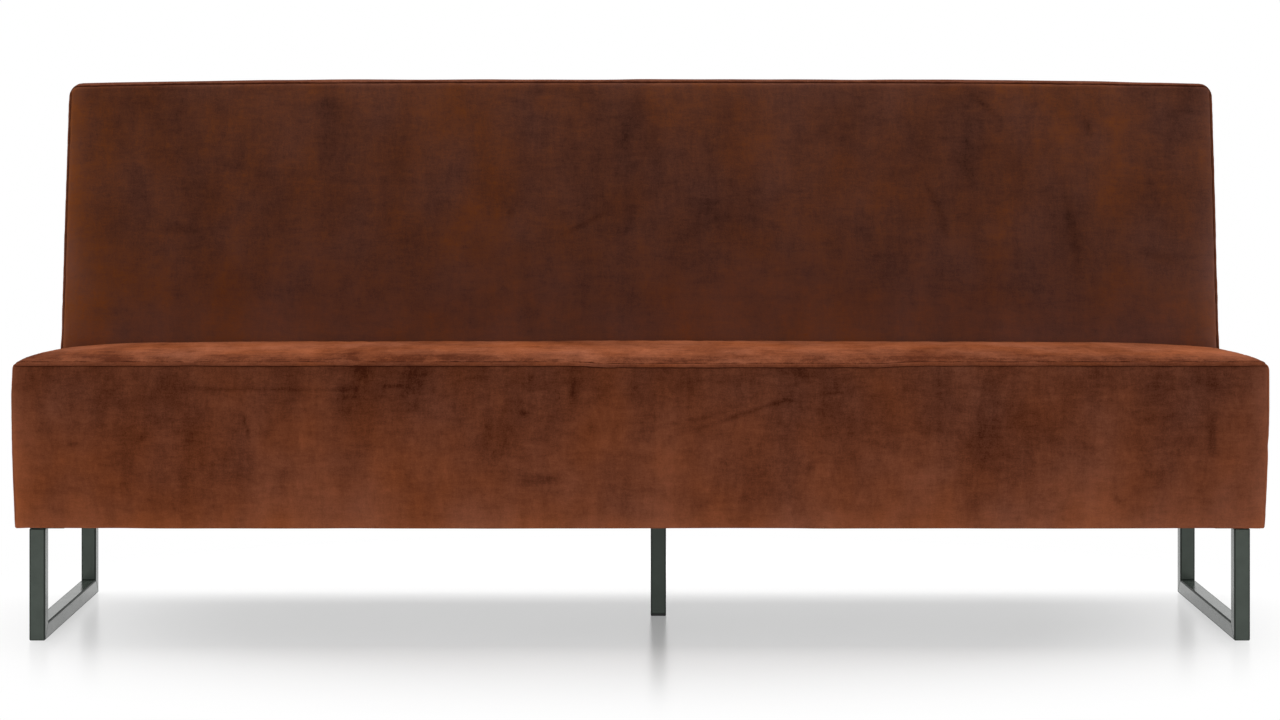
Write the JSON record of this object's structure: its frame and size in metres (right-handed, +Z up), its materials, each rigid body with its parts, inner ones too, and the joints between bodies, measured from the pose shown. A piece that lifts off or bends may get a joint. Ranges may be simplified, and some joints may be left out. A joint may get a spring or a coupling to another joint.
{
  "type": "upholstered dining bench",
  "caption": "Long upholstered dining bench with a deep box seat, a padded backrest that leans back, sled legs of square steel tube and a centre leg.",
  "frame": {"origin": "on the floor, under the middle of the bench", "axes": "+X to the right as seen from the front, along the bench; +Y to the rear; +Z up; the front faces -Y"},
  "size_m": [2.2, 0.5936, 0.9928],
  "materials": {
    "velvet": "crushed rust-brown velvet",
    "dust_cloth": "thin non-woven cloth",
    "padding": "soft fibre",
    "foam": "open-cell foam",
    "webbing": "woven elastic strap",
    "hardboard": "pressed fibre board",
    "timber": "planed softwood",
    "grey_paint": "satin greenish-grey powder coat",
    "zinc": "zinc plate",
    "felt": "pressed felt",
    "black_plastic": "matt"
  },
  "bodies": {
    "root": {"back_boxing": "velvet", "back_dust_cover": "dust_cloth", "back_foam": "foam", "back_foot_rail": "timber", "back_front_cover": "velvet", "back_joining_rail": "timber", "back_rear_board": "hardboard", "back_rear_cover": "velvet", "back_rear_padding": "padding", "back_side_padding_left": "padding", "back_side_padding_right": "padding", "back_straps": "webbing", "back_top_padding": "padding", "back_top_rail": "timber", "back_upright_left": "timber", "back_upright_right": "timber", "back_uprights_inner": "timber", "back_waist_rail": "timber", "centre_leg": "grey_paint", "centre_leg_board": "timber", "centre_leg_cap": "black_plastic", "centre_leg_plate": "grey_paint", "joining_bolts": "zinc", "joining_nuts": "zinc", "leg_board_left": "timber", "leg_board_right": "timber", "leg_bolts": "zinc", "seat_corner_blocks": "timber", "seat_cross_rail_centre": "timber", "seat_cross_rail_left": "timber", "seat_cross_rail_right": "timber", "seat_dust_cover": "dust_cloth", "seat_end_cover_left": "velvet", "seat_end_cover_right": "velvet", "seat_end_padding_left": "padding", "seat_end_padding_right": "padding", "seat_end_rail_left": "timber", "seat_end_rail_right": "timber", "seat_foam": "foam", "seat_front_cover": "velvet", "seat_front_padding": "padding", "seat_front_rail": "timber", "seat_long_straps": "webbing", "seat_rear_rail": "timber", "seat_short_straps": "webbing", "seat_top_cover": "velvet", "seat_wadding": "padding", "seat_welt": "velvet", "sled_front_post_left": "grey_paint", "sled_front_post_right": "grey_paint", "sled_glides": "felt", "sled_plate_left": "grey_paint", "sled_plate_right": "grey_paint", "sled_rear_post_left": "grey_paint", "sled_rear_post_right": "grey_paint", "sled_runner_left": "grey_paint", "sled_runner_right": "grey_paint"}
  },
  "joints": []
}
